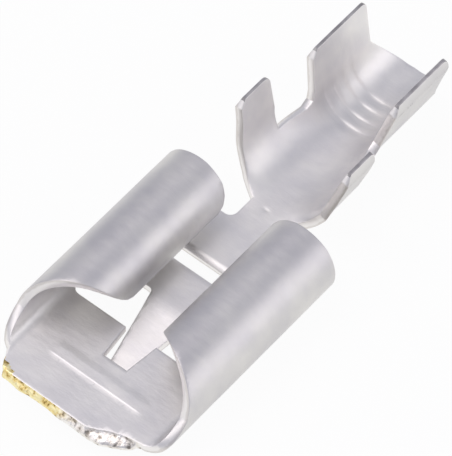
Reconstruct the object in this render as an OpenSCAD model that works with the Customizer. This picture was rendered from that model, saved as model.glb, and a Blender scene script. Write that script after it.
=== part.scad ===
// Female spade terminal with an open crimp barrel, for a tab 6.3 mm wide and 0.8 mm thick.
// It is one stamping: a flat blank of brass strip, folded into a socket at the front (two
// rolls over a flat floor) and into a U-shaped trough with two pairs of wings at the back.
// X runs across the mouth, Y from the mouth to the wire end, Z up; the floor lies on Z = 0.

/* [Strip] */
// Thickness of the brass strip
sheet_t = 0.34; // [0.28:0.01:0.42]

/* [Socket] */
// Width over both rolls
socket_w = 7.6; // [6.8:0.1:9.2]
// Length of the floor, from the mouth to its rear shoulder
socket_l = 9.8; // [9.2:0.1:12]
// Outer radius of the rolls on the wall side
roll_r = 1.5; // [1.25:0.05:1.6]
// Outer radius of the inner half of each roll, which curls down to the tab
curl_r = 1.37; // [1.15:0.01:1.5]
// Height of the middle of the rolls above the underside
roll_h = 1; // [0.9:0.05:1.3]
// Outer radius of the bend from the floor into each wall
bend_r = 0.8; // [0.6:0.05:0.85]
// Angle that the curl turns through past the top of the roll
curl_turn = 94; // [80:1:105]
// Length of the corner cut off the free edge of each roll at its rear end
roll_corner = 0.4; // [0.2:0.05:0.6]

/* [Mouth] */
// Distance from the mouth to the front edge of each wall where the bend starts
corner_back = 0.28; // [0.15:0.01:0.5]
// Distance from the mouth to the front edge of each wall at the end of its rounded corner
wall_back = 0.8; // [0.6:0.02:1]
// Distance from the mouth to the front edge of each roll where the wall runs into it
roll_back = 1.92; // [1.7:0.02:2.2]
// Distance that the front edge of a roll falls back for each millimetre along the roll
roll_rake = 0.6; // [0.4:0.02:0.7]
// Distance that the torn lip of the carrier strip stands out of the mouth
lip_out = 0.2; // [0.1:0.02:0.3]
// Thickness of the torn lip
lip_t = 0.16; // [0.1:0.01:0.2]

/* [Floor] */
// Distance from the mouth to the stop bead across the floor
bead_y = 1.55; // [1.2:0.05:1.8]
// Length of the stop bead
bead_l = 4.2; // [3:0.1:4.6]
// Width of the stop bead
bead_w = 0.34; // [0.2:0.02:0.4]
// Height of the stop bead above the floor
bead_h = 0.06; // [0.03:0.01:0.1]
// Distance from the mouth to the front end of the notch for the lance
notch_y = 2.62; // [2.3:0.02:3]
// Width of that notch at its front end
notch_w = 1.04; // [0.9:0.02:1.2]
// Width of the notch where it opens into the windows
notch_rear_w = 1.36; // [1.3:0.02:1.6]
// Distance from the mouth to the front edge of the two windows
window_y = 3.97; // [3.7:0.05:4.3]
// Length of the windows along the socket
window_l = 1.76; // [1.4:0.05:2]
// Distance between the outer ends of the two windows
window_span = 6.36; // [5.6:0.05:6.4]
// Radius of the outer corners of the windows
window_r = 0.4; // [0.2:0.05:0.6]
// Distance from the mouth to the slot across the floor
slot_y = 7.2; // [7:0.05:7.6]
// Width of the slot along the socket
slot_w = 0.62; // [0.4:0.02:0.8]
// Length of the slot across the socket
slot_l = 4.8; // [4:0.1:5]

/* [Lance] */
// Width of the locking lance at its tip
lance_tip_w = 0.76; // [0.6:0.02:0.84]
// Width of the locking lance at its root
lance_root_w = 1.9; // [1.6:0.05:2.1]
// Angle at which the lance slopes down from the floor
lance_slope = 11; // [7:1:14]
// Clearance between the tip of the lance and the front end of its notch
lance_gap = 0.08; // [0.05:0.01:0.15]

/* [Neck] */
// Width of the neck between socket and barrel
neck_w = 1.64; // [1.4:0.02:2.2]
// Radius of the fillets between the rear shoulder and the neck
neck_r = 0.3; // [0.2:0.05:0.5]
// Length of the neck, from the rear shoulder to where it widens into the barrel
neck_l = 1.1; // [0.9:0.05:1.6]

/* [Barrel] */
// Outer radius of the trough at the front pair of wings
front_r = 2.39; // [2:0.05:2.6]
// Outer radius of the trough at the rear pair of wings
rear_r = 1.67; // [1.5:0.05:1.9]
// Angle of the right-hand wings above the horizontal
right_wing_angle = 76; // [70:1:84]
// Angle of the left-hand wings above the horizontal
left_wing_angle = 82; // [70:1:84]
// Angle by which the tops of the wings fall from left to right across the barrel
wing_tilt = 4; // [0:0.5:5]
// Thickness left at the top of the wings, whose outer face is bevelled
wing_tip_t = 0.14; // [0.1:0.01:0.2]
// Height of that bevel
wing_bevel = 0.4; // [0.2:0.05:0.5]
// Height of the front pair of wings
front_wing_h = 3.3; // [3:0.1:3.8]
// Height of the rear pair of wings
rear_wing_h = 3.5; // [3.2:0.1:4]
// Length of the front pair of wings
front_wing_l = 1.55; // [1.3:0.05:2]
// Length of the rear pair of wings
rear_wing_l = 3; // [2.6:0.1:3.6]
// Distance between the two pairs of wings
wing_gap = 1.5; // [1.3:0.05:2]
// Height of the edge of the trough between the two pairs of wings
valley_h = 1.05; // [0.9:0.05:1.4]
// How far the bottom of the trough reaches behind the rear pair of wings
heel = 1.1; // [0.8:0.05:1.4]

/* [Serrations] */
// Number of grooves across the trough
groove_n = 4; // [2:1:4]
// Distance from one groove to the next
groove_pitch = 0.51; // [0.45:0.01:0.6]
// Width of each groove
groove_w = 0.2; // [0.12:0.02:0.26]
// Depth of each groove
groove_d = 0.07; // [0.04:0.01:0.1]

/* [Hidden] */
$fn = 96;
eps = 0.01;

// Section of the socket: the bend is tangent to the floor and, from inside, to the roll.
roll_x = socket_w / 2 - roll_r;
bend_off = asin((roll_h - bend_r) / (roll_r - bend_r));
floor_half = roll_x + (roll_r - bend_r) * cos(bend_off);
curl_h = roll_h + roll_r - curl_r;
high = roll_h + roll_r + 1;

// Lance: hinged at the rear edge of the windows.
lance_root_y = window_y + window_l;
lance_l = (lance_root_y - notch_y - lance_gap) / cos(lance_slope);

// Stations of the barrel along Y.
trough_y0 = socket_l + 0.6 * neck_r;
flat_r = 1000;
flare_y = socket_l + neck_l;
front_wing_y = flare_y + 1.05;
valley_y = front_wing_y + front_wing_l;
rear_wing_y = valley_y + wing_gap;
rear_wing_end = rear_wing_y + rear_wing_l;
barrel_end = rear_wing_end + heel;
heel_top = 1.6;
groove_y = rear_wing_y + 0.43;

// Points of an arc about c, from angle a0 to a1 in n steps.
function arc(c, r, a0, a1, n) =
    [for (i = [0:n]) c + r * [cos(a0 + (a1 - a0) * i / n), sin(a0 + (a1 - a0) * i / n)]];
// Smooth step from 0 to 1 as v goes from a to b.
function ease(v, a, b) =
    let (u = max(0, min(1, (v - a) / (b - a)))) u * u * (3 - 2 * u);

// One face of the strip on the right-hand half of the socket's section, at depth d below the
// outer face, from the bend at the floor to the free edge of the roll.
function face(d) = concat(
    arc([floor_half, bend_r], bend_r - d, -90, -bend_off, 12),
    arc([roll_x, roll_h], roll_r - d, -bend_off + 3, 90, 30),
    arc([roll_x, curl_h], curl_r - d, 93, 90 + curl_turn, 27)
);

// The same points on the left-hand half, from the free edge back to the floor.
function mirrored(points) =
    [for (i = [len(points) - 1:-1:0]) [-points[i][0], points[i][1]]];

function reversed(points) = [for (i = [len(points) - 1:-1:0]) points[i]];

// Section of the socket: one strip, rolled over at both sides.
module socket_section() {
    polygon(concat(
        mirrored(face(0)), face(0), reversed(face(sheet_t)), reversed(mirrored(face(sheet_t)))
    ));
}

// Extrudes a section drawn in X and Z along Y, from y0 to y1.
module along_y(y0, y1) {
    translate([0, y1, 0])
        rotate([90, 0, 0])
            linear_extrude(y1 - y0)
                children();
}

// Extrudes an outline drawn in Y and Z across the part, from x0 to x1.
module along_x(x0, x1) {
    translate([x0, 0, 0])
        rotate([90, 0, 90])
            linear_extrude(x1 - x0)
                children();
}

module both_sides() {
    children();
    mirror([1, 0, 0])
        children();
}

// One station of the mouth's cut: centre, radius and angle on the section, then the length
// developed from the start of the bend and the edge's distance from the mouth.
function station(c, r, a, l) =
    let (edge = lookup(l, [
            [0, corner_back], [0.28, wall_back], [0.5, wall_back + 0.1], [wall_dev, roll_back]
        ]),
         on_roll = max(0, l - wall_dev),
         near_end = max(0, l - free_dev + 0.8) / 0.8)
    [c, r, a, edge + roll_rake * on_roll + 0.3 * near_end * near_end];

// Length of the strip's middle layer in a bend of outer radius r through an angle a.
function dev(r, a) = (r - sheet_t / 2) * a * PI / 180;

// Developed lengths from the start of the bend.
bend_dev = dev(bend_r, 90 - bend_off);
wall_dev = bend_dev + dev(roll_r, bend_off + 6);
top_dev = bend_dev + dev(roll_r, bend_off + 90);
free_dev = top_dev + dev(curl_r, curl_turn);

// Front edge of the flat floor, from the middle outwards, as distances from the middle and
// from the mouth: cleanly cut on the left, and torn further back on the right.
clean_front = [[floor_half - 0.5, -0.05], [floor_half - 0.4, 0.02], [floor_half - 0.2, 0.1]];
torn_front = [[1, -0.05], [1.1, 0.02], [1.65, 0.38], [2.1, 0.55], [2.5, 0.62]];

function mouth_stations(front, back) = concat(
    [for (p = front) [[p[0], bend_r], bend_r, -90, p[1]]],
    [for (i = [0:6]) let (a = -90 + (90 - bend_off) * i / 6,
                          st = station([floor_half, bend_r], bend_r, a, dev(bend_r, a + 90)))
        [st[0], st[1], st[2], max(st[3], back)]],
    [for (i = [1:9]) let (a = -bend_off + (90 + bend_off) * i / 9)
        station([roll_x, roll_h], roll_r, a, bend_dev + dev(roll_r, a + bend_off))],
    [for (i = [1:10]) let (a = 90 + (curl_turn + 8) * i / 10)
        station([roll_x, curl_h], curl_r, a, top_dev + dev(curl_r, a - 90))]
);

// What is cut off the front of one side, square to the strip everywhere.
module mouth_cut(front, back) {
    reach = 0.25;
    rings = [for (st = mouth_stations(front, back))
        let (u = [cos(st[2]), sin(st[2])],
             p = st[0] + (st[1] - sheet_t - reach / 2) * u,
             q = st[0] + (st[1] + reach) * u)
        [[p[0], -1, p[1]], [q[0], -1, q[1]], [q[0], st[3], q[1]], [p[0], st[3], p[1]]]];
    n = len(rings);
    sides = [for (k = [0:n - 2], i = [0:3])
        let (a = 4 * k + i, b = 4 * k + (i + 1) % 4)
        each [[a, b + 4, b], [a, a + 4, b + 4]]];
    last = 4 * n - 4;
    ends = [[0, 1, 2], [0, 2, 3], [last, last + 2, last + 1], [last, last + 3, last + 2]];
    polyhedron([for (ring = rings) each ring], concat(sides, ends));
}

// Corner cut off the rear end of a roll's free edge.
module rear_corner_cut() {
    inner_x = roll_x - curl_r;
    translate([0, 0, sheet_t + 0.3])
        linear_extrude(high)
            polygon([
                [inner_x - 0.2, socket_l - roll_corner - 0.2],
                [inner_x + roll_corner, socket_l + 0.2], [inner_x - 0.2, socket_l + 0.2]
            ]);
}

// What is left of the carrier strip: a thin torn lip along the underside of the mouth.
module torn_lip() {
    linear_extrude(lip_t)
        polygon([
            [-2.65, 0.05], [-2.7, -0.6 * lip_out], [-1.9, -0.9 * lip_out], [-1.5, -0.55 * lip_out],
            [-0.7, -0.7 * lip_out], [-0.2, -lip_out], [0.5, -0.75 * lip_out], [1.1, -lip_out],
            [1.5, -0.8 * lip_out], [2.1, 0.1], [2.65, 0.3], [2.7, 0.7], [0, 0.7]
        ]);
}

// The two windows and the notch, left when the slugs beside the lance are pierced.
module floor_openings() {
    translate([0, 0, -1])
        linear_extrude(sheet_t + 1.5)
            union() {
                polygon([
                    [-notch_w / 2, notch_y], [notch_w / 2, notch_y],
                    [notch_rear_w / 2, window_y + eps], [-notch_rear_w / 2, window_y + eps]
                ]);
                translate([-window_span / 2 + window_r, window_y])
                    square([window_span - 2 * window_r, window_l]);
                translate([-window_span / 2, window_y + window_r])
                    square([window_span, window_l - 2 * window_r]);
                for (x = [-1, 1], y = [window_y + window_r, window_y + window_l - window_r])
                    translate([x * (window_span / 2 - window_r), y])
                        circle(window_r);
            }
    translate([-slot_l / 2, slot_y, -1])
        cube([slot_l, slot_w, sheet_t + 1.5]);
}

// Coined bead across the floor that stops the tab's shoulder from riding up.
module stop_bead() {
    along_x(-bead_l / 2, bead_l / 2)
        polygon([
            [bead_y, sheet_t - 0.1], [bead_y, sheet_t], [bead_y + 0.06, sheet_t + bead_h],
            [bead_y + bead_w, sheet_t], [bead_y + bead_w, sheet_t - 0.1]
        ]);
}

// Tapered tongue cut out of the floor, sloping down towards the mouth.
module lance() {
    intersection() {
        along_x(-lance_root_w, lance_root_w)
            union() {
                translate([lance_root_y, sheet_t])
                    rotate(lance_slope)
                        translate([-lance_l, -sheet_t])
                            square([lance_l, sheet_t]);
                // filled wedge of the bend at the root
                polygon(concat(
                    [[lance_root_y, sheet_t]],
                    arc([lance_root_y, sheet_t], sheet_t, -90, -90 + lance_slope, 3),
                    [[lance_root_y + 0.3, 0], [lance_root_y + 0.3, sheet_t]]
                ));
            }
        translate([0, 0, -3])
            linear_extrude(6)
                polygon([
                    [-lance_tip_w / 2, notch_y], [lance_tip_w / 2, notch_y],
                    [lance_root_w / 2, lance_root_y], [lance_root_w / 2, lance_root_y + 1],
                    [-lance_root_w / 2, lance_root_y + 1], [-lance_root_w / 2, lance_root_y]
                ]);
    }
}

module socket() {
    difference() {
        along_y(0, socket_l)
            socket_section();
        both_sides()
            rear_corner_cut();
        mouth_cut(torn_front, torn_front[len(torn_front) - 1][1]);
        mirror([1, 0, 0])
            mouth_cut(clean_front, 0);
        floor_openings();
    }
    torn_lip();
    stop_bead();
    lance();
}

// One point of the trough's surface: s along the section from the middle, at depth d below
// the outer face, for an outer radius r.
function trough_point(s, d, r) =
    let (wing_angle = s < 0 ? left_wing_angle : right_wing_angle,
         a = min(abs(s) / (r - sheet_t / 2) * 180 / PI, wing_angle),
         rest = abs(s) - (r - sheet_t / 2) * a * PI / 180,
         q = r - d)
    r > flat_r ? [s, d] : [sign(s) * (q * sin(a) + rest * cos(a)), r - q * cos(a) + rest * sin(a)];

// How much of the outer face is bevelled away at point p of a wing, for the pair at y.
function bevel(p, y) =
    let (top = y < valley_y + wing_gap / 2 ? front_wing_h : rear_wing_h,
         below_top = top - p[0] * tan(wing_tilt) - p[1])
    (sheet_t - wing_tip_t) * max(0, min(1, 1 - below_top / wing_bevel));

// Outer radius of the trough at y: flat at the neck, then the front and the rear pair.
function trough_r(y) =
    let (bent = ease(y, trough_y0 + 0.1, front_wing_y - 0.3),
         r = front_r + (rear_r - front_r) * ease(y, valley_y - 0.3, rear_wing_y + 0.15))
    bent > 0 ? r / bent : 2 * flat_r;

// Depth of the serrations on the inner face at y, fading out up the walls.
function serration(s, y) =
    let (v = [for (i = [0:groove_n - 1])
            max(0, 1 - 2 * abs(y - groove_y - i * groove_pitch) / groove_w)])
    groove_d * max(v) * (1 - ease(abs(s), 1.3, 2.1));

// Stations along the trough, closer together where the section changes.
bend_ys = [for (i = [0:8]) trough_y0 + 0.1 + (front_wing_y - 0.4 - trough_y0) * i / 8];
drop_ys = [for (i = [0:8]) valley_y - 0.3 + (wing_gap + 0.45) * i / 8];
groove_ys = [for (i = [0:groove_n - 1], k = [-1:1])
    groove_y + i * groove_pitch + k * groove_w / 2];
trough_ys = concat([trough_y0], bend_ys, drop_ys, groove_ys, [barrel_end + 0.5]);

// Positions across the strip, symmetrical about the middle.
steps = 20;
across = [for (i = [-steps:steps]) sign(i) * 5.2 * pow(abs(i) / steps, 1.15)];

// The trough as one lofted sheet, longer and wider than needed.
module trough() {
    n = len(across);
    rings = [for (y = trough_ys)
        let (r = trough_r(y))
        concat(
            [for (s = across)
                let (p = trough_point(s, bevel(trough_point(s, 0, r), y), r))
                [p[0], y, p[1]]],
            [for (i = [n - 1:-1:0])
                let (p = trough_point(across[i], sheet_t - serration(across[i], y), r))
                [p[0], y, p[1]]]
        )];
    m = 2 * n;
    last = (len(trough_ys) - 1) * m;
    sides = [for (k = [0:len(trough_ys) - 2], i = [0:m - 1])
        let (a = k * m + i, b = k * m + (i + 1) % m)
        each [[a, b, b + m], [a, b + m, a + m]]];
    ends = [for (i = [0:n - 2])
        let (a = i, b = i + 1, c = m - 2 - i, d = m - 1 - i)
        each [[a, c, b], [a, d, c], [last + a, last + b, last + c], [last + a, last + c, last + d]]];
    polyhedron([for (ring = rings) each ring], concat(sides, ends));
}

// Side view of what the strip keeps of the trough: two wings, the valley and the heel.
module wings_outline() {
    corner = 0.25;
    polygon(concat(
        [[trough_y0 - 1, -1], [trough_y0 - 1, sheet_t + 0.3], [flare_y + 0.25, sheet_t + 0.3],
            [flare_y + 0.5, 0.87]],
        arc([front_wing_y - 2.2, 2.3], 2.2, -36, 0, 6),
        [[front_wing_y, front_wing_h - corner], [front_wing_y + corner, front_wing_h]],
        arc([valley_y - corner, front_wing_h - corner], corner, 90, 0, 4),
        [[valley_y + 0.02, valley_h + 0.9], [valley_y - 0.1, valley_h - 0.08],
            [rear_wing_y - 0.4, valley_h + 0.12], [rear_wing_y - 0.12, valley_h + 0.3],
            [rear_wing_y, valley_h + 0.65]],
        [[rear_wing_y + 0.15, rear_wing_h - 0.4], [rear_wing_y + 0.4, rear_wing_h - 0.08]],
        arc([rear_wing_end - corner + 0.1, rear_wing_h - corner], corner, 90, 0, 4),
        [[rear_wing_end + 0.1, heel_top], [barrel_end, 0], [barrel_end, -1]]
    ));
}

// Plan view of the neck and of where it runs out into the front pair of wings.
module neck_outline() {
    half = neck_w / 2;
    side = concat(
        [[half + neck_r + 0.3, socket_l - 0.3], [half + neck_r + 0.3, socket_l]],
        arc([half + neck_r, socket_l + neck_r], neck_r, -90, -180, 6),
        [[half, flare_y], [half + 0.38, flare_y + 0.2], [half + 0.66, flare_y + 0.35],
            [half + 0.95, flare_y + 0.5], [half + 1.3, flare_y + 0.62],
            [5, flare_y + 0.8], [5, barrel_end + 1]]
    );
    polygon(concat(side, [for (i = [len(side) - 1:-1:0]) [-side[i][0], side[i][1]]]));
}

module barrel() {
    intersection() {
        trough();
        rotate([0, wing_tilt, 0])
            along_x(-6, 6)
                wings_outline();
        translate([0, 0, -2])
            linear_extrude(8)
                neck_outline();
    }
    linear_extrude(sheet_t)
        intersection() {
            neck_outline();
            translate([-4, socket_l - 0.3])
                square([8, trough_y0 - socket_l + 0.35]);
        }
}

module terminal() {
    color("silver")
        union() {
            socket();
            barrel();
        }
}

terminal();
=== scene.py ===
# %% [markdown]
# # A female spade terminal with an open crimp barrel
# The real terminal starts as a flat strip of brass. A press tool cuts a blank out of it,
# coins its edges and grooves, and folds it into shape in a few strokes, and it is then
# tin-plated. This script works in the same order: it cuts a flat blank, coins it while
# it is flat, and folds it last, so that every edge, hole and groove follows the bends.

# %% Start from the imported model
import math

import bmesh
import bpy
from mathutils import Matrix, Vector, noise


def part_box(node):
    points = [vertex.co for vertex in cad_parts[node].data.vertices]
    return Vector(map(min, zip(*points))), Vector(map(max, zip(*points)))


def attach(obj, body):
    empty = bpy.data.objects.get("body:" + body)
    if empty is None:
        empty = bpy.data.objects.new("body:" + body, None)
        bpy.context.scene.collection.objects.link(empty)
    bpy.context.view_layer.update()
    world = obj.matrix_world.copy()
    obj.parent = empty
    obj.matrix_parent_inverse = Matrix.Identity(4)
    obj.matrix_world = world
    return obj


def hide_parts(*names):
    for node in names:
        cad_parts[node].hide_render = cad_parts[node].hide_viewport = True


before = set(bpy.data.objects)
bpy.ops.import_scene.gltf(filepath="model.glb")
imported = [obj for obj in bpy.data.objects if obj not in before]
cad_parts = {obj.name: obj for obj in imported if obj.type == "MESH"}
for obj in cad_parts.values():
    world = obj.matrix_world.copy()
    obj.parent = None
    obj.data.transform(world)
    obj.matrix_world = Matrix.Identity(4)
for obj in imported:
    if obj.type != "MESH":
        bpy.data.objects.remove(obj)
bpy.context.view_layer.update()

MM = 0.001
low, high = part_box("terminal")
WIDTH = (high.x - low.x) / MM
END_Y = high.y / MM
WING_TOP = high.z / MM
print(f"terminal: {WIDTH:.2f} mm over the rolls, {WING_TOP:.2f} mm high")
print(f"its wire end is at {END_Y:.2f} mm")

# %% [markdown]
# ## The sizes of the socket
# The socket is a flat floor whose sides are rolled up and over, so that a tab is held
# between the floor and the free edges. It could be drawn as it is when folded, but then
# each hole and raked edge would have to be placed on a curve. Here everything is drawn
# on the flat blank: `s` runs across the strip along its middle layer, `y` from the mouth
# to the wire end, and `n` is the height above the middle layer. Each bend is a radius
# and an angle, so a place on the blank turns into a place on the folded part.

# %% Sizes of the socket, in millimetres
T = 0.34
SOCKET_L = 9.8
ROLL_R, CURL_R, BEND_R = 1.5, 1.37, 0.8
ROLL_H = 1.0
CURL_TURN = math.radians(94)
ROLL_X = WIDTH / 2 - ROLL_R
BEND_OFF = math.asin((ROLL_H - BEND_R) / (ROLL_R - BEND_R))
FLOOR_HALF = ROLL_X + (ROLL_R - BEND_R) * math.cos(BEND_OFF)
CURL_H = ROLL_H + ROLL_R - CURL_R

# where each bend ends on the blank, counted from the edge of the flat floor
BEND_DEV = (BEND_R - T / 2) * (math.pi / 2 - BEND_OFF)
ROLL_DEV = BEND_DEV + (ROLL_R - T / 2) * (math.pi / 2 + BEND_OFF)
FREE_DEV = ROLL_DEV + (CURL_R - T / 2) * CURL_TURN
HALF_BLANK = FLOOR_HALF + FREE_DEV
print(f"half the blank of the socket is {HALF_BLANK:.2f} mm wide")

# %% [markdown]
# ## Folding the socket
# A place on the blank passes through three arcs: the bend at the floor, the outer half
# of the roll, and the tighter curl that comes back down to the tab. A function of `s`
# and `n` gives its place, which a bend modifier couldn't do for three radii in a row.

# %% Fold the socket
def fold_socket(s, n):
    """Where a place on the blank of the socket comes to, as x and z."""
    side = 1 if s >= 0 else -1
    dev = abs(s) - FLOOR_HALF
    if dev <= 0:
        return s, T / 2 + n
    if dev <= BEND_DEV:
        cx, cz, radius = FLOOR_HALF, BEND_R, BEND_R
        angle = -math.pi / 2 + dev / (BEND_R - T / 2)
    elif dev <= ROLL_DEV:
        cx, cz, radius = ROLL_X, ROLL_H, ROLL_R
        angle = -BEND_OFF + (dev - BEND_DEV) / (ROLL_R - T / 2)
    else:
        cx, cz, radius = ROLL_X, CURL_H, CURL_R
        angle = math.pi / 2 + (dev - ROLL_DEV) / (CURL_R - T / 2)
    r = radius - T / 2 - n
    return side * (cx + r * math.cos(angle)), cz + r * math.sin(angle)


free_x, free_z = fold_socket(HALF_BLANK, 0)
print(f"the free edge of a roll comes to x {free_x:.2f}, z {free_z:.2f} mm")

# %% [markdown]
# ## Folding the barrel
# Over the barrel, one arc carries two straight wings, and its radius tightens from the
# flat neck to the wire end. The front wings grip the bare wire and the rear ones its
# insulation. The two sides differ a little, as they do on a pressed part: the left wings
# stand steeper and taller, so each side has its own radius, angle and height.

# %% Sizes of the barrel, in millimetres
LEFT, RIGHT = -1, 1
NECK_HALF = 0.82
TROUGH_Y0 = SOCKET_L + 0.28
FRONT_WING_Y, VALLEY_Y, REAR_WING_Y = 11.95, 13.5, 15.0
REAR_WING_END = 18.0
BETWEEN_WINGS = VALLEY_Y + 0.8
CURVE_FROM, CURVE_TO = TROUGH_Y0 + 0.1, FRONT_WING_Y - 0.3
NARROW_FROM, NARROW_TO = VALLEY_Y - 0.3, REAR_WING_Y + 0.15
# the half-width that stays flat, and the radius, at the front and at the rear wings
FLAT = {RIGHT: (0.0, 0.0), LEFT: (0.24, 0.05)}
RADIUS = {RIGHT: (2.39, 1.7), LEFT: (2.1, 1.62)}
WING_ANGLE = {RIGHT: math.radians(75), LEFT: math.radians(82)}
FRONT_TOP = {RIGHT: WING_TOP - 0.48, LEFT: WING_TOP - 0.14}
REAR_TOP = {RIGHT: WING_TOP - 0.24, LEFT: WING_TOP - 0.02}
print(f"the neck is {2 * NECK_HALF:.2f} mm wide")


# %% Fold the barrel
def ease(v, a, b):
    """0 up to a, 1 from b on, and a smooth step between."""
    u = max(0.0, min(1.0, (v - a) / (b - a)))
    return u * u * (3 - 2 * u)


def barrel_section(y, side):
    """The flat half-width and the radius of the trough at y, on one side."""
    bent = ease(y, CURVE_FROM, CURVE_TO)
    narrow = ease(y, NARROW_FROM, NARROW_TO)
    (flat_a, flat_b), (front, rear) = FLAT[side], RADIUS[side]
    radius = front + (rear - front) * narrow
    least = 1e-4
    return flat_a + (flat_b - flat_a) * narrow, radius / max(bent, least)


def fold_barrel(s, y, n):
    """Where a place on the blank of the barrel comes to, as x and z."""
    side = RIGHT if s >= 0 else LEFT
    flat, radius = barrel_section(y, side)
    if abs(s) <= flat:
        return s, T / 2 + n
    mid = radius - T / 2
    angle = min((abs(s) - flat) / mid, WING_ANGLE[side])
    rest = abs(s) - flat - mid * angle
    r = mid - n
    x = flat + r * math.sin(angle) + rest * math.cos(angle)
    return side * x, radius - r * math.cos(angle) + rest * math.sin(angle)


print(f"the bottom of the trough folds to z {fold_barrel(0, END_Y, 0)[1]:.2f} mm")

# %% [markdown]
# ## Unrolling the wings
# The tops of the wings come out level on the finished part, so they are easier to draw
# in side view, as `y` and `z`, and to unroll onto the blank. `reach` is the fold run
# backwards: how far out along the blank the strip gets to a height.

# %% Unroll a height
FRONT_MID, REAR_MID = 12.5, 17


def reach(y, z, side):
    """How far up the wing, along the blank, the middle layer gets to height z."""
    flat, radius = barrel_section(y, side)
    mid = radius - T / 2
    lean = WING_ANGLE[side]
    knee = radius - mid * math.cos(lean)
    if z <= knee:
        return flat + mid * math.acos(max(-1.0, min(1.0, (radius - z) / mid)))
    return flat + mid * lean + (z - knee) / math.sin(lean)


def wing_tip(s, y):
    """How far out the wing next to this place ends."""
    side = RIGHT if s >= 0 else LEFT
    top = FRONT_TOP if y < BETWEEN_WINGS else REAR_TOP
    return reach(y, top[side], side)


for side, name in ((LEFT, "left"), (RIGHT, "right")):
    front, rear = wing_tip(side, FRONT_MID), wing_tip(side, REAR_MID)
    print(f"the {name} wings reach {front:.2f} mm and {rear:.2f} mm out")

# %% [markdown]
# ## The outline of the rolls
# The outline is drawn as the toolmaker would draw it. At the mouth the edges of the
# rolls are set back and raked, so that the tab finds its way in. One front corner of the
# floor is lower than the other: there the carrier strip tore a piece out. Behind the
# rolls, a fillet leads in to the neck.

# %% Sizes of the mouth
WALL_TURN = math.radians(6)
WALL_DEV = BEND_DEV + (ROLL_R - T / 2) * (BEND_OFF + WALL_TURN)
ROLL_BACK, ROLL_RAKE, ROLL_STEPS = 1.92, 0.6, 16
SWEEP_L, SWEEP_BACK, FREE_CORNER = 0.8, 0.3, 0.12
NECK_FILLET = 0.3
CLEAN_FRONT = [(FLOOR_HALF - 0.32, 0.0), (FLOOR_HALF - 0.12, 0.08), (FLOOR_HALF, 0.28)]
TORN_FRONT = [(0.9, 0.0), (1.25, 0.14), (1.7, 0.38), (2.1, 0.53), (2.5, 0.62)]
TORN_FRONT += [(FLOOR_HALF, 0.68)]
# out from the edge of the floor and back from the mouth
MOUTH_SIDE = [(0.28, 0.8), (0.5, 0.92), (0.8, 1.24), (1.06, 1.57)]
# in from the free edge and back from the end of the socket
REAR_SIDE = [(0, -0.55), (0.18, -0.3), (0.5, -0.12), (0.9, 0.01), (1.7, 0.08)]
REAR_SIDE += [(3.0, 0.08)]
print(f"the front edges of the rolls start {ROLL_BACK} mm behind the mouth")


# %% Draw the mouth and the rolls
def arc_points(cx, cy, r, a0, a1, count):
    angles = [math.radians(a0 + (a1 - a0) * i / count) for i in range(count + 1)]
    return [(cx + r * math.cos(a), cy + r * math.sin(a)) for a in angles]


def roll_front(dev):
    """How far back the front edge of a roll is; its last part sweeps further back."""
    near_end = max(0.0, dev - FREE_DEV + SWEEP_L) / SWEEP_L
    return ROLL_BACK + ROLL_RAKE * (dev - WALL_DEV) + SWEEP_BACK * near_end ** 2


def mouth_edge(front):
    points = front + [(FLOOR_HALF + out, y) for out, y in MOUTH_SIDE]
    for i in range(ROLL_STEPS + 1):
        dev = WALL_DEV + (FREE_DEV - FREE_CORNER - WALL_DEV) * i / ROLL_STEPS
        points.append((FLOOR_HALF + dev, roll_front(dev)))
    return points + [(HALF_BLANK, roll_front(FREE_DEV) + FREE_CORNER)]


def rear_of_roll():
    points = [(HALF_BLANK - back, SOCKET_L + dy) for back, dy in REAR_SIDE]
    points += [(FLOOR_HALF + 1.2, SOCKET_L)]
    centre = NECK_HALF + NECK_FILLET, SOCKET_L + NECK_FILLET
    return points + arc_points(*centre, NECK_FILLET, -90, -180, 8)


print(f"the free edges start {roll_front(FREE_DEV) + FREE_CORNER:.2f} mm back")

# %% [markdown]
# ## The outline of the barrel
# From the neck the strip widens into the front wings, drops into a valley, rises to the
# rear wings and runs down to the heel. Both wings have rounded rear corners. The points
# are few, and corner cutting turns the longer runs into curves, which is enough here
# and simpler than a spline.

# %% Sizes of the wings
SIDE_STEP, WING_FILLET = 0.12, 0.25
# along the blank, as s and y
NECK_LINE = {
    RIGHT: [(NECK_HALF, 10.6), (0.98, 10.78), (1.3, 11.0), (1.7, 11.17), (2.0, 11.28)],
    LEFT: [(NECK_HALF, 10.9), (1.0, 11.0), (1.2, 11.12), (1.5, 11.28), (1.75, 11.42)],
}
# in side view, as y and z
FRONT_LINE = {
    RIGHT: [(11.36, 1.15), (11.52, 1.45), (11.7, 1.95), (11.9, 2.5)],
    LEFT: [(11.56, 1.0), (11.69, 1.4), (11.83, 1.95), (11.93, 2.5)],
}
VALLEY_LINE = {
    RIGHT: [(13.35, 2.4), (13.05, 1.8), (12.95, 1.35), (13.1, 1.0)],
    LEFT: [(VALLEY_Y + 0.02, 1.95), (VALLEY_Y - 0.1, 0.97)],
}
HEEL_LINE = {
    RIGHT: [(18.02, 2.3), (17.98, 1.5), (18.12, 1.05), (18.5, 0.7)],
    LEFT: [(REAR_WING_END + 0.1, 1.6)],
}
HEEL_END = [(END_Y - 0.23, 0.37), (END_Y - 0.12, T / 2)]
for name, tops in (("front", FRONT_TOP), ("rear", REAR_TOP)):
    print(f"{name} wings: {tops[LEFT]:.2f} and {tops[RIGHT]:.2f} mm high, left and right")


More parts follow.
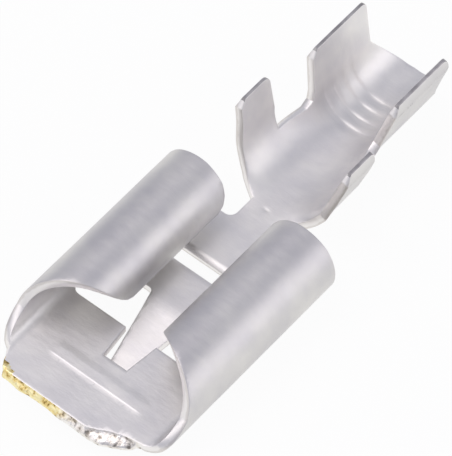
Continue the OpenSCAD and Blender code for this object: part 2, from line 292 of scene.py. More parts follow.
# %% Draw the barrel
def side_view(points, side):
    """Unrolls a line drawn in side view, (y, z), onto the blank."""
    line = []
    for (y0, z0), (y1, z1) in zip(points, points[1:]):
        count = max(1, round(math.hypot(y1 - y0, z1 - z0) / SIDE_STEP))
        for i in range(count):
            line.append((y0 + (y1 - y0) * i / count, z0 + (z1 - z0) * i / count))
    return [(reach(y, z, side), y) for y, z in line + [points[-1]]]


def rounded(points, times=2):
    """Cuts the corners of a line, and keeps its two ends."""
    for _ in range(times):
        line = [points[0]]
        for (a, b), (c, d) in zip(points, points[1:]):
            line += [(0.75 * a + 0.25 * c, 0.75 * b + 0.25 * d)]
            line += [(0.25 * a + 0.75 * c, 0.25 * b + 0.75 * d)]
        points = line + [points[-1]]
    return points


def barrel_edge(side):
    top, rear_top = FRONT_TOP[side], REAR_TOP[side]
    front = rounded(FRONT_LINE[side] + [(11.97, top - 0.35)]) + [(12.22, top)]
    corner = VALLEY_Y - WING_FILLET, top - WING_FILLET
    front += arc_points(*corner, WING_FILLET, 90, 0, 5)
    rear = [(REAR_WING_Y - 0.4, 1.17), (REAR_WING_Y - 0.12, 1.35), (REAR_WING_Y, 1.7)]
    rear += [(REAR_WING_Y + 0.15, rear_top - 0.4), (REAR_WING_Y + 0.42, rear_top)]
    corner = REAR_WING_END - 0.13, rear_top - WING_FILLET
    rear += arc_points(*corner, WING_FILLET, 90, 0, 5)
    line = front + VALLEY_LINE[side] + rear + HEEL_LINE[side] + HEEL_END
    return rounded(NECK_LINE[side]) + side_view(line, side)


print(f"one side of the barrel has {len(barrel_edge(LEFT))} points")


# %% Join the two halves
def half_outline(front, side):
    points = mouth_edge(front) + rear_of_roll() + barrel_edge(side)
    return [(side * s, y) for s, y in points]


right = half_outline(TORN_FRONT, RIGHT)
left = half_outline(CLEAN_FRONT, LEFT)
outline = right + left[::-1][1:]
print(f"the outline has {len(outline)} points")

# %% [markdown]
# ## The openings
# Two windows and a notch leave a tapered tongue standing: the lance, which snaps behind
# a shoulder in the housing. Further back a narrow slot crosses the floor. The lance, the
# windows and the notch are one closed line, as they are one piercing in the press tool.

# %% Sizes of the openings
NOTCH_Y, NOTCH_HALF, NOTCH_FLARE = 2.62, 0.52, 0.68
WINDOW_Y, WINDOW_END, WINDOW_HALF = 3.98, 5.73, 3.18
FRONT_FILLET, REAR_FILLET, ROOT_FILLET = 0.4, 0.3, 0.16
LANCE_TIP_Y, LANCE_TIP_HALF, LANCE_ROOT_HALF = 2.66, 0.38, 0.95
LANCE_SIDE_YS, LANCE_CORNER = (5.0, 4.0, 3.2, 2.8), 0.06
SLOT_Y, SLOT_END, SLOT_HALF, SLOT_FILLET = 7.21, 7.82, 2.4, 0.12
print(f"the lance is {WINDOW_END - LANCE_TIP_Y:.2f} mm long")
print(f"the slot is {SLOT_END - SLOT_Y:.2f} mm wide")


# %% Draw the openings
def lance_half(y):
    along = (y - LANCE_TIP_Y) / (WINDOW_END - LANCE_TIP_Y)
    return LANCE_TIP_HALF + (LANCE_ROOT_HALF - LANCE_TIP_HALF) * along


def with_mirror(side):
    return side + [(-s, y) for s, y in reversed(side)]


def lance_opening():
    side = [(NOTCH_HALF, NOTCH_Y), (NOTCH_FLARE, WINDOW_Y)]
    corner = WINDOW_HALF - FRONT_FILLET, WINDOW_Y + FRONT_FILLET
    side += arc_points(*corner, FRONT_FILLET, -90, 0, 8)
    corner = WINDOW_HALF - REAR_FILLET, WINDOW_END - REAR_FILLET
    side += arc_points(*corner, REAR_FILLET, 0, 90, 6)
    corner = LANCE_ROOT_HALF + ROOT_FILLET, WINDOW_END - ROOT_FILLET
    side += arc_points(*corner, ROOT_FILLET, 90, 170, 5)
    side += [(lance_half(y), y) for y in LANCE_SIDE_YS]
    return with_mirror(side + [(LANCE_TIP_HALF - LANCE_CORNER, LANCE_TIP_Y)])


def slot_opening():
    end = SLOT_HALF - SLOT_FILLET
    side = arc_points(end, SLOT_Y + SLOT_FILLET, SLOT_FILLET, -90, 0, 4)
    side += arc_points(end, SLOT_END - SLOT_FILLET, SLOT_FILLET, 0, 90, 4)
    return with_mirror(side)


print(f"openings of {len(lance_opening())} and {len(slot_opening())} points")

# %% [markdown]
# ## The blank
# `triangle_fill` fills the outline around its openings, and an extrusion gives the strip
# its thickness. The rims are bevelled at once, while the outline is still simple, because
# the real rims are rolled over a little by the punch and catch the light.

# %% Blank the strip
TIN, EDGE, TORN, TIP = range(4)
RIM = 0.035


def draw_loop(bm, points):
    verts = [bm.verts.new((s, y, -T / 2)) for s, y in points]
    for a, b in zip(verts, verts[1:] + verts[:1]):
        bm.edges.new((a, b))


blank = bmesh.new()
for points in (outline, lance_opening(), slot_opening()):
    draw_loop(blank, points)
bmesh.ops.triangle_fill(
    blank, use_beauty=True, use_dissolve=False, edges=blank.edges[:]
)
raised = bmesh.ops.extrude_face_region(blank, geom=blank.faces[:])
top = [g for g in raised["geom"] if isinstance(g, bmesh.types.BMVert)]
bmesh.ops.translate(blank, verts=top, vec=(0, 0, T))
bmesh.ops.recalc_face_normals(blank, faces=blank.faces[:])
for face in blank.faces:
    face.material_index = TIN if abs(face.normal.z) > 0.5 else EDGE
rims = [e for e in blank.edges if len({f.material_index for f in e.link_faces}) == 2]
bmesh.ops.bevel(
    blank, geom=rims, offset=RIM, offset_type="OFFSET", segments=2, profile=0.5,
    affect="EDGES", clamp_overlap=False, material=-1,
)
print(f"blank: {len(blank.faces)} faces before the cuts")

# %% [markdown]
# ## The grid
# The filled blank has long thin triangles, which would fold badly. Cuts along `s` and `y`
# turn it into a fine grid, close enough for the bends, and then the diagonals of the
# first filling are dissolved, so that the folded surface shades evenly. Each small
# feature that is coined later gets cuts of its own.

# %% Choose the lines of the grid
GRID_S, GRID_Y, GRID_BARREL, GRID_EDGE = 0.11, 0.28, 0.12, 0.02
GROOVE_YS, BEAD_Y = [15.47, 15.97, 16.48, 17.0], 1.58
GROOVE_CUTS = (-0.36, -0.27, -0.18, -0.06, 0, 0.03, 0.06)
BEAD_CUTS = (-0.05, -0.025, 0, 0.03, 0.14, 0.25, 0.34, 0.42, 0.5, 0.6)
MOUTH_CUTS, SLOT_CUTS = [0.08, 0.16, 0.3], [7.9, 7.98]
NICK_CUTS = [10.7, 10.76, 10.82, 10.88]


def spaced(start, end, step):
    count = max(1, round((end - start) / step))
    return [start + (end - start) * i / count for i in range(count + 1)]


s_lines = spaced(-HALF_BLANK + GRID_EDGE, HALF_BLANK - GRID_EDGE, GRID_S)
y_lines = spaced(-0.05, SOCKET_L - GRID_EDGE, GRID_Y)
y_lines += spaced(SOCKET_L + GRID_EDGE, END_Y - GRID_EDGE, GRID_BARREL)
y_lines += [g + d for g in GROOVE_YS for d in GROOVE_CUTS]
y_lines += [BEAD_Y + d for d in BEAD_CUTS] + MOUTH_CUTS + SLOT_CUTS + NICK_CUTS
print(f"{len(s_lines)} lines along the strip and {len(y_lines)} across it")

# %% Cut the blank into a grid
CUT_TOLERANCE, LINE_TOLERANCE, FLAT_ANGLE = 1e-5, 2e-5, 0.001


def cut(bm, geom, place, normal):
    """Cuts the given geometry along a plane and returns what it has become."""
    return bmesh.ops.bisect_plane(
        bm, geom=geom, dist=CUT_TOLERANCE, plane_co=place, plane_no=normal
    )["geom"]


def on_a_line(edge):
    a, b = edge.verts[0].co, edge.verts[1].co
    return abs(a.x - b.x) < LINE_TOLERANCE or abs(a.y - b.y) < LINE_TOLERANCE


geometry = blank.verts[:] + blank.edges[:] + blank.faces[:]
for place in y_lines:
    geometry = cut(blank, geometry, (0, place, 0), (0, 1, 0))
for place in s_lines:
    geometry = cut(blank, geometry, (place, 0, 0), (1, 0, 0))

spare = [
    e for e in blank.edges
    if len(e.link_faces) == 2 and e.calc_face_angle(0) < FLAT_ANGLE and not on_a_line(e)
]
bmesh.ops.dissolve_edges(blank, edges=spare, use_verts=False, use_face_split=False)
print(f"blank: {len(blank.faces)} faces after the cuts, {len(spare)} diagonals dissolved")

# %% [markdown]
# ## The bead and the nick
# In the press, small features are struck into the flat strip. A bead across the floor
# stops the tab: a step up at the front, a shallow slope behind it and a softer step
# down. A tool has left a small nick in the neck. Each is a height that depends on `s`
# and `y`, so it follows the strip when it is folded.

# %% Shape the bead and the nick
BEAD_H, BEAD_L, BEAD_HALF, BEAD_FADE = 0.022, 0.34, 2.1, 0.3
BEAD_STEP, BEAD_SLOPE, BEAD_FRONT = 0.7, 0.3, 0.05
NICK, NICK_DEPTH, NICK_R = (-0.1, 10.8), 0.04, 0.09


def bead_height(s, y):
    fade = 1 - ease(abs(s), BEAD_HALF - BEAD_FADE, BEAD_HALF)
    rise = BEAD_STEP * ease(y, BEAD_Y - BEAD_FRONT, BEAD_Y)
    rise += BEAD_SLOPE * ease(y, BEAD_Y, BEAD_Y + BEAD_L)
    end = BEAD_Y + BEAD_L
    return BEAD_H * fade * rise * (1 - ease(y, end, end + BEAD_FADE))


def nick_depth(s, y):
    away = math.hypot(s - NICK[0], y - NICK[1])
    return NICK_DEPTH * math.exp(-((away / NICK_R) ** 2))


print(f"the bead is {bead_height(0, BEAD_Y + BEAD_L):.3f} mm high at y {BEAD_Y} mm")

# %% [markdown]
# ## The grooves and the bevels
# Four grooves across the barrel bite into the wire. Each has a slow slope down and a
# steep face behind it. The rear edge of the slot is struck down to a bevel, and the tops
# of the wings are thinned from the outside, which helps them curl over the wire.

# %% Shape the grooves and the bevels
GROOVE_D, GROOVE_L, BITE = 0.03, 0.36, 0.08
GROOVE_FULL, GROOVE_OUT = 1.7, 2.7
CHAMFER, CHAMFER_D, CHAMFER_LEAD = 0.16, 0.12, 0.05
TIP_T, TIP_BEVEL = 0.14, 0.4


def groove_depth(s, y):
    fade = 1 - ease(abs(s), GROOVE_FULL, GROOVE_OUT)
    for g in GROOVE_YS:
        if g - GROOVE_L <= y <= g:
            return GROOVE_D * fade * ease(y, g - GROOVE_L, g - BITE)
        if g < y < g + BITE:
            return GROOVE_D * fade * (1 - (y - g) / BITE)
    return 0.0


def slot_chamfer(s, y):
    if abs(s) > SLOT_HALF or not SLOT_END - CHAMFER_LEAD < y < SLOT_END + CHAMFER:
        return 0.0
    return CHAMFER_D * (SLOT_END + CHAMFER - y) / CHAMFER


def tip_bevel(s, y):
    out = abs(s) - wing_tip(s, y) + TIP_BEVEL
    return (T - TIP_T) * max(0.0, min(1.0, out / TIP_BEVEL))


print(f"grooves at {GROOVE_YS} mm; the wings end {TIP_T} mm thick")

# %% [markdown]
# ## Striking them
# One pass moves the points of the grid along `n`. A real strip is never perfectly flat
# either, so slow noise moves both its faces together by a few microns, which breaks the
# reflections up a little. The ends of the wings are marked first, while their faces
# still stand upright, because they get a finish of their own.

# %% Coin the blank
WAVE_H, WAVE_S, WAVE_Y, WAVE_SEED = 0.006, 0.9, 0.7, 3.1
TIP_MARGIN = 0.1


def coin(bm):
    for v in bm.verts:
        s, y, n = v.co
        if n > 0:
            v.co.z += bead_height(s, y) - groove_depth(s, y)
            v.co.z -= nick_depth(s, y) + slot_chamfer(s, y)
        elif y > FRONT_WING_Y - 0.2:
            v.co.z += tip_bevel(s, y) * (0.5 - n / T)
        wave = noise.noise(Vector((s * WAVE_S, y * WAVE_Y, WAVE_SEED)))
        v.co.z += WAVE_H * (0.5 + wave)


def wing_end(face):
    s, y, _ = face.calc_center_median()
    if y < FRONT_WING_Y or face.material_index == TIN:
        return False
    return abs(s) > wing_tip(s, y) - TIP_MARGIN and abs(face.normal.x) > 0.5


tips = [face for face in blank.faces if wing_end(face)]
for face in tips:
    face.material_index = TIP
coin(blank)
print(f"coined, with {len(tips)} faces on the ends of the wings")

# %% [markdown]
# ## The lip at the mouth
# A chain of terminals hangs on a carrier strip, and each is broken off at the mouth. The
# break leaves a thin ragged lip along the underside, where bare brass shows. The front
# face is cut into layers first, so that each layer can be pulled forward or back.

# %% Cut the front face into layers
TEAR_FROM, TEAR_TO, TEAR_DEPTH = -2.84, 2.75, 0.75
LAYERS = (-0.12, -0.075, -0.03, 0.02, 0.07, 0.11)
CHIP_S, CHIP_Y = -2.4, 0.12


def front_face(face):
    c = face.calc_center_median()
    upright = face.normal.y < -0.25 and abs(face.normal.z) < 0.8
    return c.y < TEAR_DEPTH and TEAR_FROM < c.x < TEAR_TO and upright


def chipped(face):
    """The corner of the inner side where the plating came off with the lip."""
    c = face.calc_center_median()
    return c.x < CHIP_S and c.y + 0.5 * (c.x - CHIP_S) < CHIP_Y and face.normal.z > 0.2


def around_front(parts):
    """The vertices or edges of the front face, in the order of the mesh."""
    return [part for part in parts if any(front_face(f) for f in part.link_faces)]


edge_faces = [f for f in blank.faces if front_face(f)]
geometry = around_front(blank.verts) + around_front(blank.edges) + edge_faces
for level in LAYERS:
    geometry = cut(blank, geometry, (0, 0, level), (0, 0, 1))
for place in spaced(TEAR_FROM, TEAR_TO, GRID_S / 3):
    geometry = cut(blank, geometry, (place, 0, 0), (1, 0, 0))
torn = around_front(blank.verts)
for face in blank.faces:
    if front_face(face) or chipped(face):
        face.material_index = TORN
print(f"front face: {len(torn)} points in {len(LAYERS) + 1} layers")

# %% [markdown]
# ## Tearing it
# The lower layers follow the line of the lip, and noise at three sizes makes the break
# rough, from bays to grains. Noise that depends on the place alone gives the same break
# in each run.

# %% Tear the front edge
LIP_FRONT = [(-2.84, 0.1), (-2.72, -0.13), (-1.9, -0.18), (-1.5, -0.13), (-0.7, -0.15)]
LIP_FRONT += [(-0.2, -0.19), (0.5, -0.16), (1.1, -0.19), (1.6, -0.14), (2.1, 0.1)]
LIP_FRONT += [(2.75, 0.5)]
LIP_LIMIT = -0.198
LIP_ROUGH, PIT_DEPTH = 0.05, 0.07
LIP_LOW, LIP_HIGH = 0.3, 0.97
FADE_LEFT, FADE_RIGHT = 0.1, 0.2
LIP_SEED, PIT_SEED, PIT_SEED_STEP = 1.7, 5.0, 4
ROUGH_SIZES = (1.7, 4.3, 9.7)


def lookup(v, table):
    for (a, low_value), (b, high_value) in zip(table, table[1:]):
        if v <= b:
            return low_value + (high_value - low_value) * max(0.0, v - a) / (b - a)
    return table[-1][1]


def ragged(x, seed):
    parts = [noise.noise(Vector((x * k, seed, k))) / k ** 0.5 for k in ROUGH_SIZES]
    return sum(parts) / 1.3


for v in torn:
    s, y, n = v.co
    ends = ease(s, TEAR_FROM, TEAR_FROM + FADE_LEFT)
    ends *= 1 - ease(s, TEAR_TO - FADE_RIGHT, TEAR_TO)
    depth = n / T + 0.5
    lip = lookup(s, LIP_FRONT) + LIP_ROUGH * ragged(s, LIP_SEED)
    pull = (1 - ease(depth, LIP_LOW, LIP_HIGH)) * ends
    rough = ragged(s * 1.3, PIT_SEED + PIT_SEED_STEP * depth)
    pits = PIT_DEPTH * rough * (1 - abs(2 * depth - 1)) * ends
    v.co.y = max(LIP_LIMIT, y + (lip - y) * pull + pits)
print(f"torn edge: {len(torn)} points moved")

# %% [markdown]
# ## The fold of the whole blank
# The lance bends down out of the floor at its root, and everything else belongs to the
# socket or to the barrel. The parts behind the rolls, next to the neck, still follow the
# socket, because they are the rear ends of the rolls.

# %% Choose the fold for a place
LANCE_SLOPE, LANCE_BEND = math.radians(11), 0.5
LANCE_MARGIN, ROOT_MARGIN, ROOT_L, TIP_MARGIN_Y = 0.02, 0.2, 0.35, 0.015
ROLL_END_S, ROLL_END_Y, HAIR = NECK_HALF + 0.4, SOCKET_L + 0.15, 0.001


def fold_lance(s, y, n):
    run = WINDOW_END - y
    radius = LANCE_BEND / LANCE_SLOPE
    angle = min(run, LANCE_BEND) / radius
    rest = max(0.0, run - LANCE_BEND)
    py = WINDOW_END - radius * math.sin(angle) - rest * math.cos(angle)
    pz = -radius * (1 - math.cos(angle)) - rest * math.sin(angle)
    return s, py - n * math.sin(angle), T / 2 + pz + n * math.cos(angle)


def in_lance(s, y):
    margin = LANCE_MARGIN if y < WINDOW_END - ROOT_L else ROOT_MARGIN
    return LANCE_TIP_Y - TIP_MARGIN_Y < y < WINDOW_END and abs(s) < lance_half(y) + margin


def fold(s, y, n):
    """Where a place on the blank comes to on the finished part."""
    if in_lance(s, y):
        return fold_lance(s, y, n)
    behind_roll = abs(s) > ROLL_END_S and y < ROLL_END_Y
    if y <= SOCKET_L + HAIR or behind_roll:
        x, z = fold_socket(s, n)
    else:
        x, z = fold_barrel(s, y, n)
    return x, y, z


print(f"the tip of the lance comes to z {fold(0, LANCE_TIP_Y, 0)[2]:.2f} mm")

# %% [markdown]
# ## Folding the blank
# Before the fold, the place of each corner on the flat blank is kept as a UV map, and its
# height in the strip as an attribute, so that the finishes can follow the metal round
# the bends. Edges up to 38 degrees are shaded smooth, and the sheared ones stay crisp.

# %% Fold
SMOOTH_BELOW = math.radians(38)

strip_map = blank.loops.layers.uv.new("strip")
depth_layer = blank.verts.layers.float.new("depth")
for v in blank.verts:
    v[depth_layer] = v.co.z / T + 0.5
for face in blank.faces:
    face.smooth = True
    for corner in face.loops:
        corner[strip_map].uv = (corner.vert.co.x, corner.vert.co.y)
for v in blank.verts:
    v.co = Vector(fold(*v.co)) * MM
for edge in blank.edges:
    edge.smooth = edge.calc_face_angle(0) < SMOOTH_BELOW

mesh = bpy.data.meshes.new("folded_terminal")
blank.to_mesh(mesh)
blank.free()
terminal = bpy.data.objects.new("folded_terminal", mesh)
bpy.context.scene.collection.objects.link(terminal)
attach(terminal, "root")
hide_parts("terminal")
print(f"folded terminal: {len(mesh.polygons)} faces")

# %% [markdown]
# ## Helpers for the finishes
# One function turns a written colour into the linear values that Blender mixes, and one
# adds a node with its settings and links. A ramp's stops are a setting too. Patterns are
# sized by what they show in millimetres.

# %% Helpers for materials
def linear(code):
    parts = [int(code[i : i + 2], 16) / 255 for i in (1, 3, 5)]
    dark = 0.04045
    return [c / 12.92 if c <= dark else ((c + 0.055) / 1.055) ** 2.4 for c in parts] + [1.0]


def add(tree, kind, settings=None, inputs=None, stops=()):
    """Adds a node. An input is a number, a colour or the output of another node."""
    node = tree.nodes.new(kind)
    for name, value in (settings or {}).items():
        setattr(node, name, value)
    for socket, value in (inputs or {}).items():
        if isinstance(value, bpy.types.NodeSocket):
            tree.links.new(value, node.inputs[socket])
        else:
            node.inputs[socket].default_value = value
    for number, (position, code) in enumerate(stops):
        elements = node.color_ramp.elements
        if number == len(elements):
            elements.new(position)
        elements[number].position = position
        elements[number].color = linear(code)
    return node


def new_material(name):
    material = bpy.data.materials.new(name)
    material.use_nodes = True
    material.node_tree.nodes.clear()
    return material, material.node_tree


def per(size_mm):
    """The scale of a pattern whose features are this many millimetres across."""
    return 1 / (size_mm * MM)


print("a mid grey of #808080 is", round(linear("#808080")[0], 3), "in linear values")

# %% [markdown]
# ## Matt tin
# Most of the terminal is electroplated tin on rolled strip. It is soft and a little
# cloudy, so reflections are wide and grey, with no sharp highlight. The colour follows
# the height in the strip: the inside is painted lighter, as painted light that lifts the
# shade inside the rolls and the trough, and the outside darker, as painted shade that
# dulls the white floor seen in it. Faint marks across the strip are left by the press
# tool and show through the plating. The real grain is a few microns wide and is drawn
# much coarser, so that it can show.

# %% Matt tin plating
CLOUD_MM, MARK_MM, GRAIN_MM = 1.7, 0.3125, 0.09
MARK_DEPTH_MM, GRAIN_DEPTH_MM = 0.02, 0.01

tin, tree = new_material("matt_tin_on_rolled_brass")
place = add(tree, "ShaderNodeTexCoord").outputs["Object"]
cloud = add(
    tree, "ShaderNodeTexNoise",
    inputs={"Vector": place, "Scale": per(CLOUD_MM), "Detail": 3.0},
)
# the strip map is in millimetres, and its marks are 2.5 times as long across the strip
strip = add(tree, "ShaderNodeUVMap", {"uv_map": "strip"}).outputs["UV"]
stretch = add(tree, "ShaderNodeMapping", inputs={"Vector": strip, "Scale": (0.4, 1, 1)})
marks = add(
    tree, "ShaderNodeTexNoise",
    inputs={"Vector": stretch.outputs[0], "Scale": 1 / MARK_MM, "Detail": 3.0},
).outputs["Fac"]
grain = add(
    tree, "ShaderNodeTexNoise",
    inputs={"Vector": place, "Scale": per(GRAIN_MM), "Detail": 2.0},
)
share = add(
    tree, "ShaderNodeMath", {"operation": "MULTIPLY_ADD"},
    {0: marks, 1: 0.25, 2: cloud.outputs["Fac"]},
).outputs[0]
# painted shade: the outer face of the strip is darker, to dull the white floor seen in it
outside_painted_shade = add(
    tree, "ShaderNodeValToRGB", inputs={"Fac": share},
    stops=((0.48, "#d4d2d3"), (0.8, "#e2e0dd")),
)
# painted light: the inner face is lighter, to lift the shade inside the rolls and the
# trough
inside_painted_light = add(
    tree, "ShaderNodeValToRGB", inputs={"Fac": share},
    stops=((0.48, "#e8e6e6"), (0.8, "#f4f2ef")),
)
print("patterns of the tin:", CLOUD_MM, MARK_MM, GRAIN_MM, "mm")

# %% Put the tin together
depth = add(tree, "ShaderNodeAttribute", {"attribute_name": "depth"})
# the height in the strip mixes the darker outside, painted shade, with the lighter inside,
# painted light
colour = add(
    tree, "ShaderNodeMix", {"data_type": "RGBA"},
    {0: depth.outputs["Fac"], 6: outside_painted_shade.outputs["Color"], 7: inside_painted_light.outputs["Color"]},
)
rough = add(
    tree, "ShaderNodeMath", {"operation": "MULTIPLY_ADD"}, {0: marks, 1: 0.12, 2: 0.41}
)
waves = add(
    tree, "ShaderNodeBump",
    inputs={"Strength": 0.5, "Distance": MARK_DEPTH_MM * MM, "Height": marks},
)
bump = add(
    tree, "ShaderNodeBump",
    inputs={
        "Strength": 0.15, "Distance": GRAIN_DEPTH_MM * MM,
        "Height": grain.outputs["Fac"], "Normal": waves.outputs["Normal"],
    },
)
metal = add(
    tree, "ShaderNodeBsdfPrincipled",
    inputs={
        "Metallic": 1.0, "Base Color": colour.outputs[2],
        "Roughness": rough.outputs[0], "Normal": bump.outputs["Normal"],
    },
)
add(tree, "ShaderNodeOutputMaterial", inputs={"Surface": metal.outputs["BSDF"]})
mesh.materials.append(tin)
print(tin.name, "has", len(tree.nodes), "nodes")

# %% [markdown]
# ## Tin on the sheared edges
# A punch burnishes the first part of a cut face, and the rest breaks away rougher. The
# plating covers both, so an edge has a pale band and a slightly duller part, whose line
# wanders. The height in the strip and a little noise choose between the two. Both tones
# are painted paler than the tin on the faces, as painted light for the bright strip that
# the cut edges show.

# %% Tin on the sheared edges
WANDER_MM = 0.3

edge_tin, tree = new_material("tin_on_sheared_edge")
place = add(tree, "ShaderNodeTexCoord").outputs["Object"]
wander = add(
    tree, "ShaderNodeTexNoise",
    inputs={"Vector": place, "Scale": per(WANDER_MM), "Detail": 3.0},
)
depth = add(tree, "ShaderNodeAttribute", {"attribute_name": "depth"})
line = add(
    tree, "ShaderNodeMath", {"operation": "MULTIPLY_ADD"},
    {0: wander.outputs["Fac"], 1: 0.5, 2: depth.outputs["Fac"]},
)
# painted light: both stops are paler than the tin on the faces, for the bright strip that
# the cut edges show
tone = add(
    tree, "ShaderNodeValToRGB", inputs={"Fac": line.outputs[0]},
    stops=((0.5, "#e2deda"), (0.66, "#f4f1ef")),
)
metal = add(
    tree, "ShaderNodeBsdfPrincipled",
    inputs={"Metallic": 1.0, "Roughness": 0.38, "Base Color": tone.outputs["Color"]},
)
add(tree, "ShaderNodeOutputMaterial", inputs={"Surface": metal.outputs["BSDF"]})
mesh.materials.append(edge_tin)
print(edge_tin.name, "has", len(tree.nodes), "nodes")

# %% [markdown]
# ## Bare torn brass
# The terminal was plated before it was broken off its carrier, so the break shows bare
# brass in yellow grains. Towards the right the tin was smeared over it, and the same
# grains are silver. The place across the mouth and patches of noise choose between the
# two. On both, the darkest stops are painted shade in the pits between the grains, and
# the brightest are painted glints on them.

# %% Colours of the break
GRIT_MM, PATCH_MM = 0.2, 0.7
SMEAR_PER_MM, SMEAR_FROM, SMEAR_TO = 0.2, 0.35, 0.6

brass, tree = new_material("bare_torn_brass")
place = add(tree, "ShaderNodeTexCoord").outputs["Object"]
grit = add(
    tree, "ShaderNodeTexNoise",
    inputs={"Vector": place, "Scale": per(GRIT_MM), "Detail": 3.0},
).outputs["Fac"]
patch = add(
    tree, "ShaderNodeTexNoise",
    inputs={"Vector": place, "Scale": per(PATCH_MM), "Detail": 1.0},
)
# the darkest stop is painted shade in the pits and the brightest painted glints; the yellow
# between is the brass's own
yellow = add(
    tree, "ShaderNodeValToRGB", inputs={"Fac": grit},
    stops=((0.34, "#8a7238"), (0.42, "#ecd28a"), (0.56, "#fbf0bc")),
)
# the darkest stop is painted shade in the pits and the brightest painted glints; the silver
# between is the smeared tin's own
silver = add(
    tree, "ShaderNodeValToRGB", inputs={"Fac": grit},
    stops=((0.34, "#9a938a"), (0.42, "#e2dcd3"), (0.6, "#f9f6f2")),
)
print("grains of", GRIT_MM, "mm in patches of", PATCH_MM, "mm")

# %% Put the break together
across = add(tree, "ShaderNodeSeparateXYZ", inputs={0: place})
share = add(
    tree, "ShaderNodeMath", {"operation": "MULTIPLY_ADD"},
    {0: across.outputs["X"], 1: SMEAR_PER_MM / MM, 2: patch.outputs["Fac"]},
)
smeared = add(
    tree, "ShaderNodeMapRange", inputs={0: share.outputs[0], 1: SMEAR_FROM, 2: SMEAR_TO}
)
colour = add(
    tree, "ShaderNodeMix", {"data_type": "RGBA"},
    {0: smeared.outputs[0], 6: yellow.outputs["Color"], 7: silver.outputs["Color"]},
)
bump = add(
    tree, "ShaderNodeBump", inputs={"Strength": 0.6, "Distance": 0.06 * MM, "Height": grit}
)
metal = add(
    tree, "ShaderNodeBsdfPrincipled",
    inputs={
        "Metallic": 1.0, "Roughness": 0.32, "Base Color": colour.outputs[2],
        "Normal": bump.outputs["Normal"],
    },
)
add(tree, "ShaderNodeOutputMaterial", inputs={"Surface": metal.outputs["BSDF"]})
mesh.materials.append(brass)
print(brass.name, "has", len(tree.nodes), "nodes")

# %% [markdown]
# ## Rubbed tin on the wing ends
# The ends of the wings stand out furthest, so they are rubbed most on the reel. They
# look grey and flat beside the fresh plating, with slightly lighter patches.

# %% Rubbed tin on the wing ends
RUB_MM = 0.5

rubbed, tree = new_material("rubbed_tin_on_wing_ends")
place = add(tree, "ShaderNodeTexCoord").outputs["Object"]
rub = add(
    tree, "ShaderNodeTexNoise",
    inputs={"Vector": place, "Scale": per(RUB_MM), "Detail": 3.0},
)
tone = add(
    tree, "ShaderNodeValToRGB", inputs={"Fac": rub.outputs["Fac"]},
    stops=((0.35, "#a5a2a3"), (0.65, "#c6c3c3")),
)
metal = add(
    tree, "ShaderNodeBsdfPrincipled",
    inputs={"Metallic": 1.0, "Roughness": 0.45, "Base Color": tone.outputs["Color"]},
)
add(tree, "ShaderNodeOutputMaterial", inputs={"Surface": metal.outputs["BSDF"]})
mesh.materials.append(rubbed)
print("finishes:", [m.name for m in mesh.materials])

# %% [markdown]
# ## The floor
# The terminal lies on a plain white floor. Most of what is seen of it, directly or in
# the metal, is an even white of its own, so that no more light has to fall on the
# terminal. The rest is an ordinary matt surface, which keeps the shadow. The floor is a
# hair below the terminal, so that the two don't share a plane.

# %% White table
LIT_SHARE = 0.94

white, tree = new_material("white_table")
path = add(tree, "ShaderNodeLightPath").outputs
# 1 for camera, glossy and transmission rays, 0 for the light that the floor gives off
sharp = add(
    tree, "ShaderNodeMath", {"operation": "MAXIMUM"},
    {0: path["Is Glossy Ray"], 1: path["Is Transmission Ray"]},
)
seen = add(
    tree, "ShaderNodeMath", {"operation": "MAXIMUM"},
    {0: path["Is Camera Ray"], 1: sharp.outputs[0]},
)
share = add(
    tree, "ShaderNodeMath", {"operation": "MULTIPLY"}, {0: seen.outputs[0], 1: LIT_SHARE}
)
paper = add(tree, "ShaderNodeBsdfDiffuse", inputs={"Color": linear("#f7f7f7")})
lit = add(tree, "ShaderNodeEmission", inputs={"Strength": 1.0})
mix = add(
    tree, "ShaderNodeMixShader",
    inputs={0: share.outputs[0], 1: paper.outputs[0], 2: lit.outputs[0]},
)
add(tree, "ShaderNodeOutputMaterial", inputs={"Surface": mix.outputs[0]})
print(white.name, "has", len(tree.nodes), "nodes")


# %% Floor
FLOOR_SIZE, FLOOR_GAP = 1.2, 0.00002


def plane(name, size, z):
    bm = bmesh.new()
    bmesh.ops.create_grid(bm, x_segments=1, y_segments=1, size=size / 2)
    bmesh.ops.translate(bm, verts=bm.verts[:], vec=(0, 0, z))
    data = bpy.data.meshes.new(name)
    bm.to_mesh(data)
    bm.free()
    obj = bpy.data.objects.new(name, data)
    bpy.context.scene.collection.objects.link(obj)
    return obj


floor = plane("floor", FLOOR_SIZE, low.z - FLOOR_GAP)
floor.data.materials.append(white)
print(f"floor: {FLOOR_SIZE} m wide, at z {low.z / MM:.2f} mm")

# %% [markdown]
# ## The room and the panels
# Metal shows what stands around it. A pale grey room gives it a plain tone, and three
# soft panels draw its shape: one overhead that brightens what leans forward, one low at
# the right that draws a band along each roll, and a weak one in front for the cut edges.
# A panel is set by how bright it looks, its radiance, because that is what metal shows.

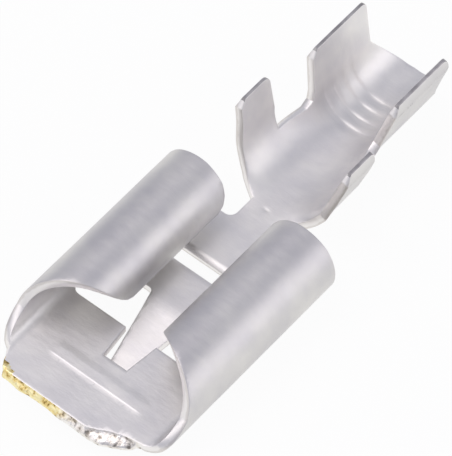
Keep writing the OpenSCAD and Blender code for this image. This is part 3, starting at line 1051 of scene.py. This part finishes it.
# %% World
world = bpy.data.worlds.new("studio")
world.use_nodes = True
tree = world.node_tree
tree.nodes.clear()
room = add(
    tree, "ShaderNodeBackground", inputs={"Color": linear("#bebfc9"), "Strength": 1.0}
)
add(tree, "ShaderNodeOutputWorld", inputs={"Surface": room.outputs[0]})
bpy.context.scene.world = world
print("world:", world.name)

# %% Panels
CENTRE = Vector((0.37, 8.06, 2.65)) * MM
PANEL_DISTANCE = 0.35
# name, azimuth, elevation, side of the square in metres, radiance, colour
PANELS = [
    ("overhead", 305, 66, 0.28, 1.42, "#fff7f5"),
    ("side", 118, 24, 0.28, 0.95, "#fffafa"),
    ("front", 335, 25, 0.22, 0.7, "#fffaf6"),
]


def direction(azimuth, elevation):
    a, e = math.radians(azimuth), math.radians(elevation)
    return Vector((math.sin(a) * math.cos(e), -math.cos(a) * math.cos(e), math.sin(e)))


def aim(obj, azimuth, elevation, distance):
    """Puts a lamp or a camera at this distance from the centre and turns it there."""
    towards = direction(azimuth, elevation)
    obj.location = CENTRE + towards * distance
    obj.rotation_euler = towards.to_track_quat("Z", "Y").to_euler()
    bpy.context.scene.collection.objects.link(obj)


for name, azimuth, elevation, size, radiance, code in PANELS:
    lamp = bpy.data.lights.new(name, "AREA")
    lamp.color = linear(code)[:3]
    lamp.shape = "SQUARE"
    lamp.size = size
    lamp.energy = math.pi * size * size * radiance
    aim(bpy.data.objects.new(name, lamp), azimuth, elevation, PANEL_DISTANCE)
    print(f"{name} panel: {lamp.energy:.3f} W")

# %% [markdown]
# ## The camera
# A long lens keeps the edges of so small a part nearly parallel. It looks in at the
# mouth from above and to the right, which shows the rolls, the lance and the barrel at
# once. Everything is in focus.

# %% Camera
CAMERA_AZIMUTH, CAMERA_ELEVATION, CAMERA_DISTANCE = 39.77, 54.54, 0.1631

camera = bpy.data.objects.new("camera", bpy.data.cameras.new("camera"))
aim(camera, CAMERA_AZIMUTH, CAMERA_ELEVATION, CAMERA_DISTANCE)
camera.data.lens = 378.6
camera.data.sensor_width = 36
camera.data.clip_start = 0.005
bpy.context.scene.camera = camera
bpy.context.scene.view_settings.view_transform = "Standard"
print(f"camera: {camera.data.lens} mm lens, {CAMERA_DISTANCE} m away")

# %% Finish
print("scene built")
